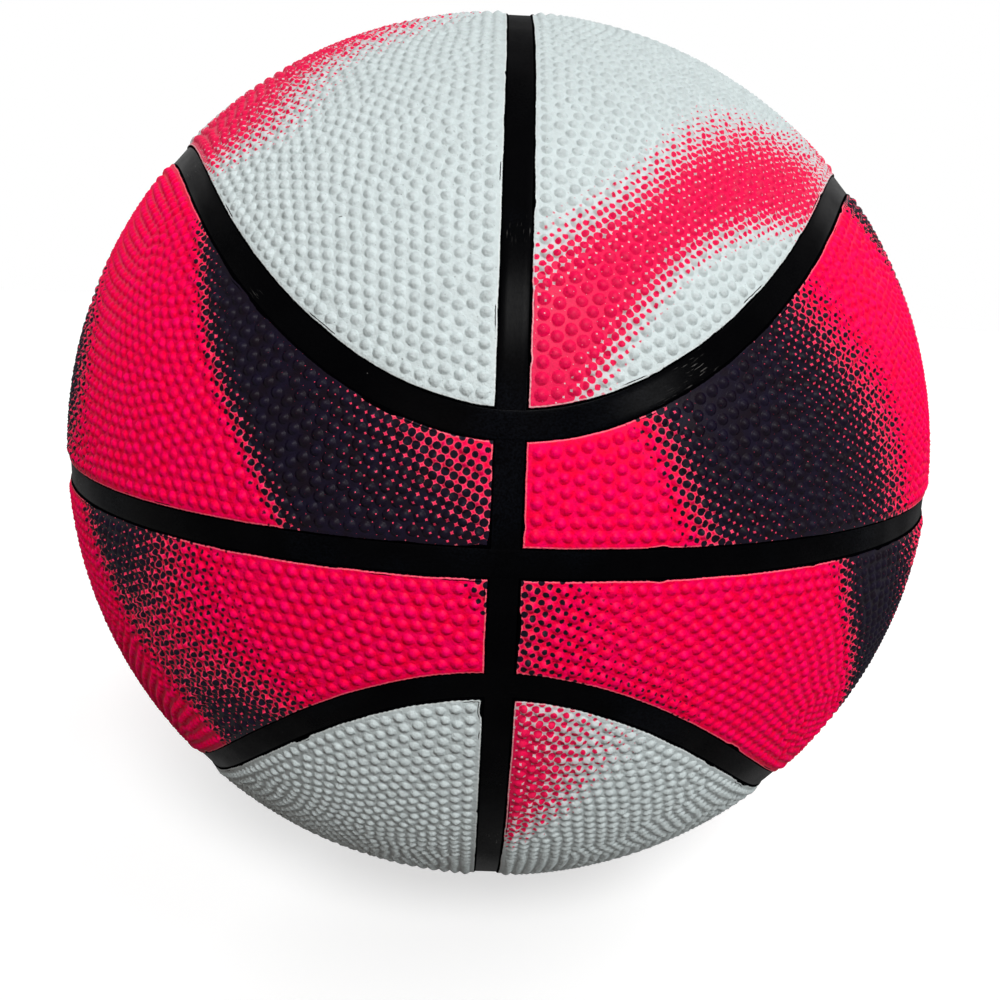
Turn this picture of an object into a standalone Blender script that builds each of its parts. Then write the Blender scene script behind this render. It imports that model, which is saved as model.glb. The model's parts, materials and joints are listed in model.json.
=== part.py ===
"""A size 7 basketball: eight cover panels and black channel strips on a wound, air-filled core.

Frame: origin at the ball's centre, +Z up. The middle channel lies in the XY plane and the vertical
channel in the YZ plane. The crossing of the two that faces the viewer is on -Y.
"""

import math

import bmesh
import bpy
from mathutils import Euler, Vector

# Overall size
BALL_CIRCUMFERENCE = 0.7493

# Layers, from the outside in
PANEL_THICKNESS = 0.0012
CHANNEL_DEPTH = 0.0007
CARCASS_THICKNESS = 0.0010
WINDING_THICKNESS = 0.0006
BLADDER_THICKNESS = 0.0008

# Channels: their width, and the arc from the middle channel to the curved one at three places
CHANNEL_WIDTH = 0.0060
CURVE_RISE_AT_NECK = 0.0255
CURVE_RISE_AT_SHOULDER = 0.0731
CURVE_RISE_AT_SIDE = 0.0848

# Valve: where it sits in the panel, then its seat and its plug
VALVE_AZIMUTH = math.radians(216.0)
VALVE_ELEVATION = math.radians(17.5)
SEAT_RECESS = 0.0006
SEAT_NECK_RADIUS = 0.0048
SEAT_FLANGE_RADIUS = 0.0110
SEAT_FLANGE_THICKNESS = 0.0015
SEAT_BOOT_RADIUS = 0.0058
SEAT_LENGTH = 0.0200
PLUG_HEAD_RADIUS = 0.0035
PLUG_HEAD_THICKNESS = 0.0016
PLUG_STEM_RADIUS = 0.0027
PLUG_LENGTH = 0.0165
PLUG_TIP_CHAMFER = 0.0006
NEEDLE_HOLE_RADIUS = 0.0006
NEEDLE_LEAD_RADIUS = 0.0013
NEEDLE_LEAD_DEPTH = 0.0012

# Clearance between neighbouring pieces
FIT_GAP = 0.0003

# Facet counts
SHELL_SIDES = 24
SHELL_RINGS = 12
COLUMNS = 30
BAND_ROWS = 5
MOON_ROWS = 6
RING_STEPS = 2 * (COLUMNS + 1)
POLE_STEPS = 24
NECK_STEPS = 2

# Points nearer than this are one point
MERGE_DISTANCE = 0.000005

# Radii that follow from the sizes above. A flat facet's middle sags below the round surface.
OUTER_RADIUS = BALL_CIRCUMFERENCE / (2 * math.pi)
FACET_WIDTH = math.pi * OUTER_RADIUS / COLUMNS
BAND_FACET = CURVE_RISE_AT_SIDE / BAND_ROWS
MOON_FACET = (BALL_CIRCUMFERENCE / 4 - CURVE_RISE_AT_SIDE) / MOON_ROWS
FACET_SAG = (FACET_WIDTH**2 + max(BAND_FACET, MOON_FACET) ** 2) / (8 * OUTER_RADIUS)
STRIP_RADIUS = OUTER_RADIUS - CHANNEL_DEPTH
STRIP_THICKNESS = PANEL_THICKNESS - CHANNEL_DEPTH
CARCASS_RADIUS = OUTER_RADIUS - PANEL_THICKNESS - FACET_SAG - FIT_GAP
WINDING_RADIUS = CARCASS_RADIUS - CARCASS_THICKNESS - FIT_GAP
BLADDER_RADIUS = WINDING_RADIUS - WINDING_THICKNESS - FIT_GAP
BLADDER_INNER_RADIUS = BLADDER_RADIUS - BLADDER_THICKNESS
VALVE_HOLE_RADIUS = SEAT_NECK_RADIUS + FIT_GAP
SEAT_TOP = OUTER_RADIUS - SEAT_RECESS
COLLAR_ANGLE = math.asin(SEAT_FLANGE_RADIUS / BLADDER_INNER_RADIUS)

# Angles at the ball's centre
STRIP_EDGE = CHANNEL_WIDTH / 2 / OUTER_RADIUS
PANEL_EDGE = STRIP_EDGE + FIT_GAP / OUTER_RADIUS
NECK = CURVE_RISE_AT_NECK / OUTER_RADIUS
SHOULDER = CURVE_RISE_AT_SHOULDER / OUTER_RADIUS
SIDE = CURVE_RISE_AT_SIDE / OUTER_RADIUS


def clear_scene():
    for thing in list(bpy.data.objects):
        bpy.data.objects.remove(thing)


def make_collection(name):
    collection = bpy.data.collections.new(name)
    bpy.context.scene.collection.children.link(collection)
    return collection


def make_material(name, colour, roughness):
    material = bpy.data.materials.new(name)
    material.use_nodes = True
    shader = material.node_tree.nodes["Principled BSDF"]
    shader.inputs["Base Color"].default_value = (*colour, 1.0)
    shader.inputs["Roughness"].default_value = roughness
    shader.inputs["Metallic"].default_value = 0.0
    return material


def add_piece(name, mesh, material, parent=None):
    piece = bpy.data.objects.new(name, mesh)
    mesh.materials.append(material)
    mesh.shade_smooth()
    parts.objects.link(piece)
    piece.parent = parent
    return piece


def direction(azimuth, elevation):
    """The unit vector at an azimuth, counted from -Y towards +X, and an elevation."""
    level = math.cos(elevation)
    return Vector((math.sin(azimuth) * level, -math.cos(azimuth) * level, math.sin(elevation)))


def curve_elevation(azimuth):
    """The upper curved channel's elevation: a wave with the given rises at neck, shoulder and side."""
    mean = (NECK + SIDE) / 4 + SHOULDER / 2
    swing = (SIDE - NECK) / 2
    square = SHOULDER / 2 - (NECK + SIDE) / 4
    return mean - swing * math.cos(2 * azimuth) - square * math.cos(4 * azimuth)


def beside_curve(azimuth, offset):
    """A point beside the upper curved channel's centre line, at an angle across it towards +Z."""
    reach = 1e-4
    here = direction(azimuth, curve_elevation(azimuth))
    ahead = direction(azimuth + reach, curve_elevation(azimuth + reach))
    across = here.cross(ahead).cross(here).normalized()
    upward = here.cross(across)
    return here * math.cos(offset) + upward * math.sin(offset)


def corner_azimuth(offset, edge):
    """Where a line beside the curved channel comes to the edge of the vertical channel, near -Y."""
    low = 0.0
    high = math.pi / 2
    for _ in range(50):
        middle = (low + high) / 2
        if beside_curve(middle, offset).x < math.sin(edge):
            low = middle
        else:
            high = middle
    return low


def front_to_back(u, corner):
    """Even steps of azimuth over half a turn, drawn in at both ends to the corners."""
    return min(max(u * math.pi, corner), math.pi - corner)


def band_place(u, v):
    """A pink panel: u runs from front to back, v from the middle channel up to the curved one."""
    low_corner = math.asin(math.tan(PANEL_EDGE))
    low = direction(front_to_back(u, low_corner), PANEL_EDGE)
    high = beside_curve(front_to_back(u, corner_azimuth(-PANEL_EDGE, PANEL_EDGE)), -PANEL_EDGE)
    return low.lerp(high, v).normalized()


def moon_place(u, v):
    """A white panel: u runs from front to back, v from the vertical channel out to the curved one."""
    far = beside_curve(front_to_back(u, corner_azimuth(PANEL_EDGE, PANEL_EDGE)), PANEL_EDGE)
    root = Vector((0.0, far.y, far.z)).normalized() * math.cos(PANEL_EDGE)
    root.x = math.sin(PANEL_EDGE)
    return root.lerp(far, v).normalized()


def ring_azimuth(u):
    """The panels' own steps right round the ball, with one across the vertical channel, front and back."""
    half, step = divmod(round(u * RING_STEPS), COLUMNS + 1)
    return half * math.pi + front_to_back(step / COLUMNS, corner_azimuth(0.0, PANEL_EDGE))


def middle_place(u, v):
    """The middle channel: u runs round the ball, v up across the strip."""
    return direction(ring_azimuth(u), (2 * v - 1) * STRIP_EDGE)


def curve_place(u, v):
    """The upper curved channel: u runs round the ball, v up across the strip."""
    return beside_curve(ring_azimuth(u), (2 * v - 1) * STRIP_EDGE)


def vertical_place(start, stop):
    """A length of the vertical channel, between two angles counted from -Y up over the top."""

    def place(u, v):
        along = start + u * (stop - start)
        across = (1 - 2 * v) * STRIP_EDGE
        level = math.cos(across)
        return Vector((math.sin(across), -math.cos(along) * level, math.sin(along) * level))

    return place


def sphere_patch(name, place, columns, rows, radius, thickness, material, signs=(1, 1)):
    """A shell whose outer face is a grid laid on the ball by place(u, v), mirrored by its signs in X and Z."""
    patch = bmesh.new()
    bmesh.ops.create_grid(patch, x_segments=columns, y_segments=rows, size=0.5)
    for vertex in patch.verts:
        spot = place(vertex.co.x + 0.5, vertex.co.y + 0.5)
        vertex.co = Vector((spot.x * signs[0], spot.y, spot.z * signs[1])) * radius
    bmesh.ops.remove_doubles(patch, verts=patch.verts, dist=MERGE_DISTANCE)
    patch.normal_update()
    if sum(face.normal.dot(face.calc_center_median()) for face in patch.faces) < 0:
        bmesh.ops.reverse_faces(patch, faces=patch.faces)
    mesh = bpy.data.meshes.new(name)
    patch.to_mesh(mesh)
    patch.free()
    piece = add_piece(name, mesh, material)
    shell = piece.modifiers.new("thickness", "SOLIDIFY")
    shell.thickness = thickness
    shell.offset = -1.0
    shell.use_even_offset = True
    return piece


def add_strip(name, place, steps, half=1):
    sphere_patch(name, place, steps, 1, STRIP_RADIUS, STRIP_THICKNESS, channel_rubber, (1, half))


def turned_piece(name, profile, closed, material):
    """A profile of (radius, height) points turned about the valve's axis."""
    mesh = bpy.data.meshes.new(name)
    edges = [(i, i + 1) for i in range(len(profile) - 1)]
    if closed:
        edges.append((len(profile) - 1, 0))
    mesh.from_pydata([(radius, 0.0, height) for radius, height in profile], edges, [])
    piece = add_piece(name, mesh, material, valve_axis)
    turn = piece.modifiers.new("turn", "SCREW")
    turn.steps = SHELL_SIDES
    turn.render_steps = SHELL_SIDES
    turn.use_merge_vertices = True
    turn.merge_threshold = MERGE_DISTANCE
    turn.use_smooth_shade = True
    return piece


def layer(name, radius, thickness, material):
    """A spherical shell with the valve's hole at its pole."""
    step = (math.pi - COLLAR_ANGLE) / SHELL_RINGS
    angles = [COLLAR_ANGLE + step * ring for ring in range(SHELL_RINGS)]
    inner = radius - thickness
    profile = [(0.0, -inner)]
    profile += [(inner * math.sin(angle), inner * math.cos(angle)) for angle in reversed(angles)]
    profile += [(VALVE_HOLE_RADIUS, math.sqrt(size**2 - VALVE_HOLE_RADIUS**2)) for size in (inner, radius)]
    profile += [(radius * math.sin(angle), radius * math.cos(angle)) for angle in angles]
    profile += [(0.0, -radius)]
    return turned_piece(name, profile, False, material)


clear_scene()
parts = make_collection("basketball")
cutters = make_collection("cutters")

white_rubber = make_material("white_rubber", (0.75, 0.80, 0.80), 0.55)
pink_rubber = make_material("pink_rubber", (1.0, 0.0, 0.08), 0.50)
channel_rubber = make_material("channel_rubber", (0.008, 0.008, 0.010), 0.40)
carcass_rubber = make_material("carcass_rubber", (0.02, 0.02, 0.02), 0.70)
nylon_yarn = make_material("nylon_yarn", (0.80, 0.78, 0.70), 0.60)
butyl_rubber = make_material("butyl_rubber", (0.015, 0.015, 0.017), 0.45)
seat_rubber = make_material("seat_rubber", (0.02, 0.02, 0.02), 0.50)
plug_rubber = make_material("plug_rubber", (0.03, 0.03, 0.03), 0.40)

# The valve's axis, which the turned layers, the seat and the plug share
valve_axis = bpy.data.objects.new("valve_axis", None)
parts.objects.link(valve_axis)
valve_axis.rotation_euler = Euler((math.pi / 2 - VALVE_ELEVATION, 0.0, VALVE_AZIMUTH))

# The core: bladder, winding and carcass
layer("bladder", BLADDER_RADIUS, BLADDER_THICKNESS, butyl_rubber)
layer("nylon_winding", WINDING_RADIUS, WINDING_THICKNESS, nylon_yarn)
layer("carcass", CARCASS_RADIUS, CARCASS_THICKNESS, carcass_rubber)

# The valve seat: a necked boot with a flange under the bladder and a stepped bore for the plug
bore = PLUG_STEM_RADIUS + FIT_GAP
counterbore = PLUG_HEAD_RADIUS + FIT_GAP
ledge = SEAT_TOP - PLUG_HEAD_THICKNESS - FIT_GAP
flange_top = math.sqrt(BLADDER_INNER_RADIUS**2 - SEAT_NECK_RADIUS**2) - FIT_GAP
flange_rim = BLADDER_INNER_RADIUS * math.cos(COLLAR_ANGLE) - FIT_GAP
flange_bottom = flange_rim - SEAT_FLANGE_THICKNESS
seat_bottom = SEAT_TOP - SEAT_LENGTH
seat_profile = [
    (counterbore, SEAT_TOP),
    (SEAT_NECK_RADIUS, SEAT_TOP),
    (SEAT_NECK_RADIUS, flange_top),
    (SEAT_FLANGE_RADIUS, flange_rim),
    (SEAT_FLANGE_RADIUS, flange_bottom),
    (SEAT_BOOT_RADIUS, flange_bottom),
    (SEAT_BOOT_RADIUS, seat_bottom),
    (bore, seat_bottom),
    (bore, ledge),
    (counterbore, ledge),
]
turned_piece("valve_seat", seat_profile, True, seat_rubber)

# The valve plug: a headed stem with the needle's hole down its middle
head_bottom = SEAT_TOP - PLUG_HEAD_THICKNESS
plug_bottom = SEAT_TOP - PLUG_LENGTH
plug_profile = [
    (NEEDLE_LEAD_RADIUS, SEAT_TOP),
    (PLUG_HEAD_RADIUS, SEAT_TOP),
    (PLUG_HEAD_RADIUS, head_bottom),
    (PLUG_STEM_RADIUS, head_bottom),
    (PLUG_STEM_RADIUS, plug_bottom + PLUG_TIP_CHAMFER),
    (PLUG_STEM_RADIUS - PLUG_TIP_CHAMFER, plug_bottom),
    (NEEDLE_HOLE_RADIUS, plug_bottom),
    (NEEDLE_HOLE_RADIUS, SEAT_TOP - NEEDLE_LEAD_DEPTH),
]
turned_piece("valve_plug", plug_profile, True, plug_rubber)

# The cover panels, two of each colour above the middle channel and two below it
panels = {}
for half, height in ((1, "upper"), (-1, "lower")):
    for side, hand in ((-1, "left"), (1, "right")):
        signs = (side, half)
        pink = f"pink_panel_{height}_{hand}"
        panels[pink] = sphere_patch(
            pink, band_place, COLUMNS, BAND_ROWS, OUTER_RADIUS, PANEL_THICKNESS, pink_rubber, signs
        )
        white = f"white_panel_{height}_{hand}"
        panels[white] = sphere_patch(
            white, moon_place, COLUMNS, MOON_ROWS, OUTER_RADIUS, PANEL_THICKNESS, white_rubber, signs
        )

# The valve's hole in the panel that it sits in
bpy.ops.mesh.primitive_cylinder_add(
    vertices=SHELL_SIDES,
    radius=VALVE_HOLE_RADIUS,
    depth=SEAT_LENGTH,
    location=direction(VALVE_AZIMUTH, VALVE_ELEVATION) * OUTER_RADIUS,
    rotation=valve_axis.rotation_euler,
)
valve_cutter = bpy.context.object
valve_cutter.name = "valve_cutter"
valve_cutter.hide_render = True
valve_cutter.display_type = "WIRE"
for collection in list(valve_cutter.users_collection):
    collection.objects.unlink(valve_cutter)
cutters.objects.link(valve_cutter)
valve_hole = panels["pink_panel_upper_left"].modifiers.new("valve_hole", "BOOLEAN")
valve_hole.operation = "DIFFERENCE"
valve_hole.solver = "EXACT"
valve_hole.object = valve_cutter

# The channel strips: three rings, and the vertical ring's lengths between them
add_strip("middle_channel", middle_place, RING_STEPS)
neck_start = PANEL_EDGE
neck_stop = NECK - PANEL_EDGE
pole_start = NECK + PANEL_EDGE
for half, height, over in ((1, "upper", "top"), (-1, "lower", "bottom")):
    add_strip(f"{height}_curved_channel", curve_place, RING_STEPS, half)
    front = vertical_place(neck_start, neck_stop)
    add_strip(f"front_{height}_channel", front, NECK_STEPS, half)
    back = vertical_place(math.pi - neck_stop, math.pi - neck_start)
    add_strip(f"back_{height}_channel", back, NECK_STEPS, half)
    across_pole = vertical_place(pole_start, math.pi - pole_start)
    add_strip(f"{over}_channel", across_pole, POLE_STEPS, half)
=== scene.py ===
import json
import math

import bpy
import numpy as np
from mathutils import Matrix, Vector
from mathutils.geometry import delaunay_2d_cdt


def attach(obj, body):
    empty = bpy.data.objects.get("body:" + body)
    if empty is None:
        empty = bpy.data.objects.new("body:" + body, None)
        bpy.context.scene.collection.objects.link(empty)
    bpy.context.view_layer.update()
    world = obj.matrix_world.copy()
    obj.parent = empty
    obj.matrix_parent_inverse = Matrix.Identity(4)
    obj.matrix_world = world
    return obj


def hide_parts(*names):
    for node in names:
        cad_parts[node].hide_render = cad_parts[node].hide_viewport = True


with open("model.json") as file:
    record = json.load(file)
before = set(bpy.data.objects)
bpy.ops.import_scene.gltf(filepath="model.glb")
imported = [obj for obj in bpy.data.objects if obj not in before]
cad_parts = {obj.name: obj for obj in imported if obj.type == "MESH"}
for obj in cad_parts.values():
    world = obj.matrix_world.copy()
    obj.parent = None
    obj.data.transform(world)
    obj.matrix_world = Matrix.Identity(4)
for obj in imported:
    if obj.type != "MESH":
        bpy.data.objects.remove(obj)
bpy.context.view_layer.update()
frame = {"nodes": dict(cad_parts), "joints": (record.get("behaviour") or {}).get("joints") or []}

# Bladder: the air bag in the middle of the ball, two moulded halves of black butyl rubber
# vulcanised together along a flat seam. The valve's boot is bonded into its one hole.

BLADDER_WALL = 0.0008
BLADDER_SEAM_WIDTH = 0.004
BLADDER_SEAM_HEIGHT = 0.0003
LAYER_HOLE_RADIUS = 0.0051
SHELL_SIDES = 96
SHELL_STEPS = 60
ON_AXIS = 1e-6
BUTYL_BLACK = (24, 24, 26)
BUTYL_BLOOM = (52, 52, 54)

VALVE_AXIS = Vector(frame["joints"][0]["axis"]).normalized()
VALVE_TURN = VALVE_AXIS.to_track_quat("Z", "Y").to_matrix()


class Shade:
    """A socket in a material's nodes. Arithmetic on it adds Math nodes, and node() adds any other."""

    def __init__(self, tree, socket=None):
        self.tree = tree
        self.socket = socket

    def node(self, kind, settings=None, sockets=None, output=0):
        """Adds a node, sets its settings, then gives its sockets their values or links."""
        made = self.tree.nodes.new(kind)
        for name, value in (settings or {}).items():
            setattr(made, name, value)
        for name, value in (sockets or {}).items():
            self.feed(made.inputs[name], value)
        return Shade(self.tree, made.outputs[output])

    def feed(self, socket, value):
        if isinstance(value, Shade):
            self.tree.links.new(value.socket, socket)
        else:
            socket.default_value = value

    def math(self, operation, *values):
        return self.node("ShaderNodeMath", {"operation": operation}, dict(enumerate(values)))

    def __add__(self, other):
        return self.math("ADD", self, other)

    def __sub__(self, other):
        return self.math("SUBTRACT", self, other)

    def __rsub__(self, other):
        return self.math("SUBTRACT", other, self)

    def __mul__(self, other):
        return self.math("MULTIPLY", self, other)

    def __truediv__(self, other):
        return self.math("DIVIDE", self, other)

    __radd__ = __add__
    __rmul__ = __mul__

    def clamp(self):
        return self.node("ShaderNodeClamp", {}, {"Value": self})

    def step(self, low, high):
        """0 below low and 1 above high, eased between them."""
        return self.node(
            "ShaderNodeMapRange",
            {"interpolation_type": "SMOOTHSTEP"},
            {"Value": self, "From Min": low, "From Max": high},
        )

    def noise(self, scale, detail=2.0, stretch=(1.0, 1.0, 1.0)):
        """Noise about 0.5 at this place, with its grain drawn out by the stretch."""
        squeeze = tuple(scale / length for length in stretch)
        place = self.node(
            "ShaderNodeVectorMath", {"operation": "MULTIPLY"}, {0: self, 1: squeeze}
        )
        return self.node("ShaderNodeTexNoise", {}, {"Vector": place, "Scale": 1.0, "Detail": detail})

    def turn(self, angle):
        """A flat place turned about the Z axis."""
        return self.node(
            "ShaderNodeVectorRotate",
            {"rotation_type": "Z_AXIS"},
            {"Vector": self, "Angle": angle},
        )

    def axis(self, number):
        return self.node("ShaderNodeSeparateXYZ", {}, {"Vector": self}, output=number)

    def mix(self, first, second):
        """The first colour where this mask is 0 and the second where it is 1."""
        return self.node("ShaderNodeMix", {"data_type": "RGBA"}, {0: self, 6: first, 7: second}, output=2)

    def bump(self, distance):
        return self.node("ShaderNodeBump", {}, {"Height": self, "Distance": distance})


def colour(red, green, blue):
    """Screen values from 0 to 255 as the linear colour that a shader takes."""
    shares = [value / 255 for value in (red, green, blue)]
    linear = [((share + 0.055) / 1.055) ** 2.4 if share > 0.04045 else share / 12.92 for share in shares]
    return (*linear, 1.0)


def material(name):
    """A new material and the start of its node tree."""
    made = bpy.data.materials.new(name)
    made.use_nodes = True
    return made, Shade(made.node_tree)


def finish(made, sockets):
    """Gives the shader's sockets their values or links."""
    shade = Shade(made.node_tree)
    shader = made.node_tree.nodes["Principled BSDF"]
    for name, value in sockets.items():
        shade.feed(shader.inputs[name], value)
    return made


def object_place(shade):
    return shade.node("ShaderNodeTexCoord", output="Object")


def turned(name, profile, sides):
    """A closed piece turned about the valve's axis from (radius, height) points."""
    corners, rings = [], {}
    for radius, height in dict.fromkeys(profile):
        count = sides if radius > ON_AXIS else 1
        rings[radius, height] = [len(corners) + k % count for k in range(sides)]
        for angle in np.arange(count) * math.tau / sides:
            corner = Vector((radius * math.cos(angle), radius * math.sin(angle), height))
            corners.append(tuple(VALVE_TURN @ corner))
    faces = []
    for here, there in zip(profile, profile[1:]):
        first, second = rings[here], rings[there]
        for k in range(sides):
            face = dict.fromkeys((first[k - 1], second[k - 1], second[k], first[k]))
            if len(face) > 2:
                faces.append(tuple(face))
    mesh = bpy.data.meshes.new(name)
    mesh.from_pydata(corners, [], faces)
    mesh.shade_smooth()
    return mesh


def piece(name, mesh, finish_material, body, slot, *nodes):
    """Puts a mesh in the scene on its body, in place of the nodes that it stands for."""
    made = bpy.data.objects.new(name, mesh)
    bpy.context.scene.collection.objects.link(made)
    mesh.materials.append(finish_material)
    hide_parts(*nodes)
    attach(made, body)
    return made


def layer_shell(name, node, wall):
    """A thin ball with one round hole at the valve, at the radius of the node that it stands for."""
    outer = max(corner.co.length for corner in frame["nodes"][node].data.vertices)
    inner = outer - wall
    ring = np.linspace(0.0, 1.0, SHELL_STEPS)
    start_out = math.asin(LAYER_HOLE_RADIUS / outer)
    start_in = math.asin(LAYER_HOLE_RADIUS / inner)
    out = [(outer * math.sin(a), outer * math.cos(a)) for a in start_out + ring * (math.pi - start_out)]
    back = [(inner * math.sin(a), inner * math.cos(a)) for a in math.pi - ring * (math.pi - start_in)]
    return turned(name, out + back + out[:1], SHELL_SIDES)


def butyl():
    made, shade = material("butyl_rubber")
    place = object_place(shade)
    swirl = place.noise(30.0, 5.0).step(0.35, 0.7)
    fine = place.noise(900.0, 2.0)
    height = place.axis(2)
    seam = 1 - (height.math("ABSOLUTE", height) / BLADDER_SEAM_WIDTH).step(0.4, 0.5)
    return finish(made, {
        "Base Color": swirl.mix(colour(*BUTYL_BLACK), colour(*BUTYL_BLOOM)),
        "Roughness": 0.42 + swirl * 0.12 + fine * 0.06,
        "Normal": (seam + fine * 0.08).bump(BLADDER_SEAM_HEIGHT),
    })


piece("air_bladder", layer_shell("air_bladder", "bladder", BLADDER_WALL), butyl(), "ball",
      "butyl_rubber", "bladder")

# Valve seat: a soft rubber grommet with a flange that is cured to the bladder, a neck that comes up
# through the layers and the panel, and a long boot below that grips the plug.

BALL_CIRCUMFERENCE = 0.7493
BALL_RADIUS = BALL_CIRCUMFERENCE / math.tau
BLADDER_INSIDE = min(corner.co.length for corner in frame["nodes"]["bladder"].data.vertices)
SEAT_SINK = 0.0006
SEAT_TOP = BALL_RADIUS - SEAT_SINK
SEAT_NECK_RADIUS = 0.0048
SEAT_FLANGE_RADIUS = 0.0110
SEAT_FLANGE_GAP = 0.0002
SEAT_FLANGE_TOP = BLADDER_INSIDE - SEAT_FLANGE_GAP
SEAT_FLANGE_THICKNESS = 0.0015
SEAT_BOOT_RADIUS = 0.0058
SEAT_LENGTH = 0.0200
PLUG_HEAD_RADIUS = 0.0035
PLUG_HEAD_THICKNESS = 0.0016
PLUG_STEM_RADIUS = 0.0027
PLUG_LENGTH = 0.0165
VALVE_CLEARANCE = 0.00012
VALVE_SIDES = 72
EDGE_ROUND = 0.0004
ROUND_STEPS = 5
ROUND_SHARE = 0.4
RUBBER_SHINE = 0.2
SEAT_DARK = (20, 20, 21)
SEAT_LIGHT = (38, 38, 40)


def plain_rubber(name, dark, light, roughness, grain, grain_depth):
    """Moulded rubber: clouded by bloom, with a fine grain left by the mould."""
    made, shade = material(name)
    place = object_place(shade)
    cloud = place.noise(60.0, 4.0).step(0.35, 0.75)
    fine = place.noise(grain, 3.0)
    return finish(made, {
        "Base Color": cloud.mix(colour(*dark), colour(*light)),
        "Roughness": roughness + (fine - 0.5) * 0.2 + cloud * 0.08,
        "Specular IOR Level": RUBBER_SHINE,
        "Normal": fine.bump(grain_depth),
    })


def rounded(corners, radius):
    """A profile whose corners, except the first and last, are rounded."""
    points = [corners[0]]
    for before, here, after in zip(corners, corners[1:], corners[2:]):
        here = Vector(here)
        to_before = Vector(before) - here
        to_after = Vector(after) - here
        reach = min(radius, ROUND_SHARE * to_before.length, ROUND_SHARE * to_after.length)
        start = here + to_before.normalized() * reach
        end = here + to_after.normalized() * reach
        for turn in np.linspace(0.0, 1.0, ROUND_STEPS):
            point = start * (1 - turn) ** 2 + here * (2 * turn * (1 - turn)) + end * turn ** 2
            points.append(tuple(point))
    return points + [corners[-1]]


BORE_RADIUS = PLUG_STEM_RADIUS + VALVE_CLEARANCE
BORE_MOUTH_RADIUS = PLUG_HEAD_RADIUS + VALVE_CLEARANCE
BORE_FLOOR = SEAT_TOP - PLUG_LENGTH - VALVE_CLEARANCE
BORE_SHELF = SEAT_TOP - PLUG_HEAD_THICKNESS - VALVE_CLEARANCE
SEAT_PROFILE = [
    (0.0, BORE_FLOOR),
    (BORE_RADIUS, BORE_FLOOR),
    (BORE_RADIUS, BORE_SHELF),
    (BORE_MOUTH_RADIUS, BORE_SHELF),
    (BORE_MOUTH_RADIUS, SEAT_TOP),
    (SEAT_NECK_RADIUS, SEAT_TOP),
    (SEAT_NECK_RADIUS, SEAT_FLANGE_TOP),
    (SEAT_FLANGE_RADIUS, SEAT_FLANGE_TOP),
    (SEAT_FLANGE_RADIUS, SEAT_FLANGE_TOP - SEAT_FLANGE_THICKNESS),
    (SEAT_BOOT_RADIUS, SEAT_FLANGE_TOP - SEAT_FLANGE_THICKNESS),
    (SEAT_BOOT_RADIUS, SEAT_TOP - SEAT_LENGTH),
    (0.0, SEAT_TOP - SEAT_LENGTH),
]

seat_finish = plain_rubber(
    "seat_rubber", SEAT_DARK, SEAT_LIGHT, roughness=0.5, grain=1800.0, grain_depth=0.00004
)
piece("valve_grommet", turned("valve_grommet", rounded(SEAT_PROFILE, EDGE_ROUND), VALVE_SIDES),
      seat_finish, "ball", "seat_rubber", "valve_seat")

# Nylon winding: one long yarn run round and round the bladder in every direction by machine, then
# dipped in latex, so that the ball keeps its shape and size when it is blown up.

WINDING_WALL = 0.0006
YARN_PITCH = 0.0016
YARN_WANDER = 0.004
YARN_HEIGHT = 0.0003
YARN_PALE = (214, 206, 186)
YARN_PAINTED_SHADE = (142, 132, 112)
YARN_COURSES = ((0.3, 0.2), (1.2, 1.0), (2.1, 0.6), (0.8, 2.2), (1.9, 2.7))


def wound_yarn():
    """Courses of yarn that cross at many angles: round each course's own axis, one on another."""
    made, shade = material("nylon_yarn")
    place = object_place(shade)
    lift = None
    for tilt, heading in YARN_COURSES:
        axis = (math.sin(tilt) * math.cos(heading), math.sin(tilt) * math.sin(heading), math.cos(tilt))
        along = shade.node(
            "ShaderNodeVectorMath", {"operation": "DOT_PRODUCT"}, {0: place, 1: axis}, output="Value"
        )
        wander = place.noise(25.0, 1.0) * YARN_WANDER
        strand = shade.math("COSINE", (along + wander) * (math.tau / YARN_PITCH)) * 0.5 + 0.5
        patch = place.noise(18.0 + 3.0 * tilt, 1.0).step(0.45, 0.55)
        lift = strand if lift is None else patch * strand + (1 - patch) * lift
    latex = place.noise(140.0, 3.0)
    return finish(made, {
        # The grooves between the strands are darkened with painted shade.
        "Base Color": lift.step(0.1, 0.8).mix(colour(*YARN_PAINTED_SHADE), colour(*YARN_PALE)),
        "Roughness": 0.62 + (latex - 0.5) * 0.4,
        "Normal": lift.bump(YARN_HEIGHT),
    })


piece("yarn_winding", layer_shell("yarn_winding", "nylon_winding", WINDING_WALL), wound_yarn(), "ball",
      "nylon_yarn", "nylon_winding")

# Carcass: a sheet of plain black rubber cured over the winding. It is the base that the panels and
# the channel strips are laid on in the mould.

CARCASS_WALL = 0.0010
CARCASS_DARK = (28, 27, 27)
CARCASS_LIGHT = (46, 45, 44)

carcass_finish = plain_rubber(
    "carcass_rubber", CARCASS_DARK, CARCASS_LIGHT, roughness=0.68, grain=700.0, grain_depth=0.00008
)
piece("carcass_layer", layer_shell("carcass_layer", "carcass", CARCASS_WALL), carcass_finish, "ball",
      "carcass_rubber", "carcass")

# White panels: four crescents of moulded rubber, either side of the vertical channel over the top
# and under the bottom. The mould gives them round pebbles, with a row along each edge, and a smooth
# lip. A screen print of pink dots sinks into the rubber as it cures.

CHANNEL_HALF = 0.0030
CURVE_RISE_AT_NECK = 0.0255
CURVE_RISE_AT_SHOULDER = 0.0731
CURVE_RISE_AT_SIDE = 0.0848
PANEL_THICKNESS = 0.0012
PANEL_UNDERSIDE = BALL_RADIUS - PANEL_THICKNESS
PANEL_MIDDLES = {"white": (0.8, 0.0, 0.6), "pink": (1.0, 0.0, 0.32)}
OUTLINE_POINTS = 240
CORNER_HALVINGS = 50
MERGE_DISTANCE = 1e-8

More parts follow.
